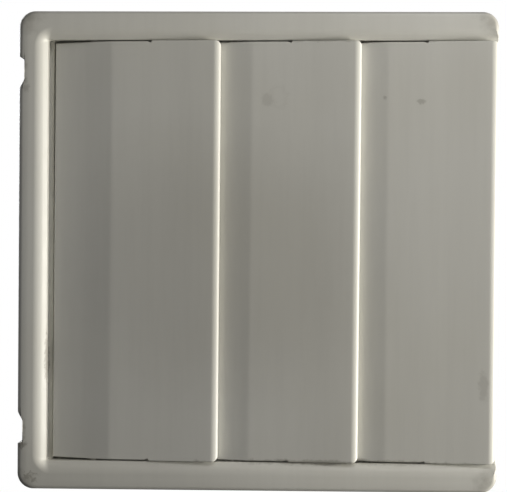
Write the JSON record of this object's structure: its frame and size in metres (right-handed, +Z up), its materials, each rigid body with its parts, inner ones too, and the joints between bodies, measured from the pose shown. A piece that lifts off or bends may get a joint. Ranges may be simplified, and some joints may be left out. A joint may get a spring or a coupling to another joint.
{
  "type": "gravity shutter vent grille",
  "caption": "Square wall vent with overlapping gravity flaps in a U-shaped frame, over a back plate with a round duct spigot.",
  "frame": {"origin": "on the duct's axis, in the plane of the wall that the shutter is screwed to", "axes": "+X to the right seen from the front, +Y into the wall along the duct, +Z up; the front faces -Y"},
  "size_m": [0.14, 0.0499, 0.14],
  "materials": {
    "white_plastic": "aged warm white ABS, semi-gloss, with light grime at the corners",
    "back_plate_plastic": "off-white ABS, matt",
    "foam": "closed-cell grey foam",
    "zinc_steel": "bright zinc plate",
    "grey_nylon": "moulded grey nylon"
  },
  "bodies": {
    "housing": {"front_frame": "white_plastic", "back_plate": "back_plate_plastic", "foam_gasket": "foam", "fixing_screw_1": "zinc_steel", "fixing_screw_2": "zinc_steel", "fixing_screw_3": "zinc_steel", "fixing_screw_4": "zinc_steel", "wall_plug_1": "grey_nylon", "wall_plug_2": "grey_nylon", "wall_plug_3": "grey_nylon", "wall_plug_4": "grey_nylon"},
    "upper_flap": {"upper_flap": "white_plastic"},
    "middle_flap": {"middle_flap": "white_plastic"},
    "lower_flap": {"lower_flap": "white_plastic"}
  },
  "joints": [
    {"name": "upper_flap_hinge", "type": "hinge", "parent": "housing", "child": "upper_flap", "pos_m": [0, -0.01675, 0.04841], "axis": [-1, 0, 0], "range_deg": [0, 80]},
    {"name": "middle_flap_hinge", "type": "hinge", "parent": "housing", "child": "middle_flap", "pos_m": [0, -0.01675, 0.00741], "axis": [-1, 0, 0], "range_deg": [0, 80]},
    {"name": "lower_flap_hinge", "type": "hinge", "parent": "housing", "child": "lower_flap", "pos_m": [0, -0.01675, -0.03239], "axis": [-1, 0, 0], "range_deg": [0, 80]}
  ]
}
